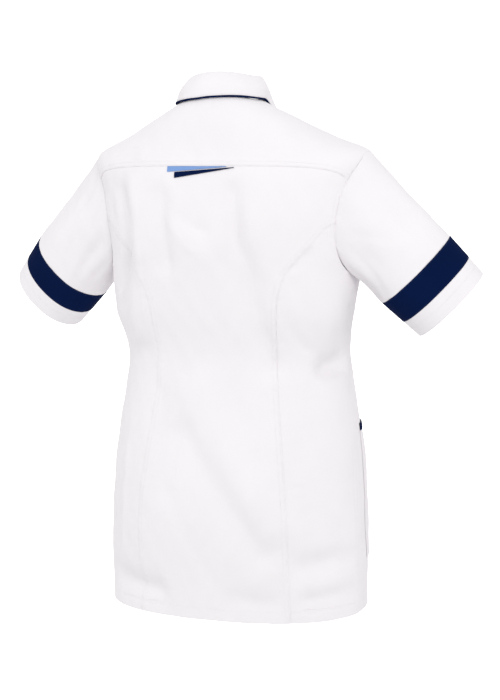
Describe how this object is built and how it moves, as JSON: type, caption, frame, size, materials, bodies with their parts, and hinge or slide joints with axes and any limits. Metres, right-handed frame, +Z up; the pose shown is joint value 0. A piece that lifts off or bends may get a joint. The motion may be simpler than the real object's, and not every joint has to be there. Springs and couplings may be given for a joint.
{
  "type": "short-sleeved medical tunic",
  "caption": "White short-sleeved medical tunic with shirt collar, navy piping, wide navy sleeve bands, back yoke with tapered trim strips and hip pockets, shown worn and hollow.",
  "frame": {"origin": "on the neck's centre line, between the two points where the collar meets the shoulders, where the wearer's neck and shoulders hold the tunic up", "axes": "+Z up, the front faces -Y, +X to the wearer's left"},
  "size_m": [0.7104, 0.2692, 0.7683],
  "materials": {
    "white_cloth": "plain-woven polyester and cotton, pressed, slight sheen",
    "navy_cloth": "plain-woven polyester and cotton, dyed navy",
    "light_blue_cloth": "plain-woven polyester and cotton, dyed light blue",
    "button_white": "moulded polyester, satin"
  },
  "bodies": {
    "root": {"back_centre": "white_cloth", "back_side_left": "white_cloth", "back_side_right": "white_cloth", "yoke": "white_cloth", "front_left": "white_cloth", "front_right": "white_cloth", "button_1": "button_white", "button_2": "button_white", "button_3": "button_white", "button_4": "button_white", "button_5": "button_white", "button_6": "button_white", "button_7": "button_white", "collar_stand": "white_cloth", "collar_leaf": "white_cloth", "collar_piping": "navy_cloth", "sleeve_left": "white_cloth", "sleeve_right": "white_cloth", "band_left": "navy_cloth", "band_right": "navy_cloth", "cuff_left": "white_cloth", "cuff_right": "white_cloth", "flash_light": "light_blue_cloth", "flash_navy": "navy_cloth", "pocket_left": "white_cloth", "pocket_right": "white_cloth", "pocket_edge_left": "navy_cloth", "pocket_edge_right": "navy_cloth"}
  },
  "joints": []
}
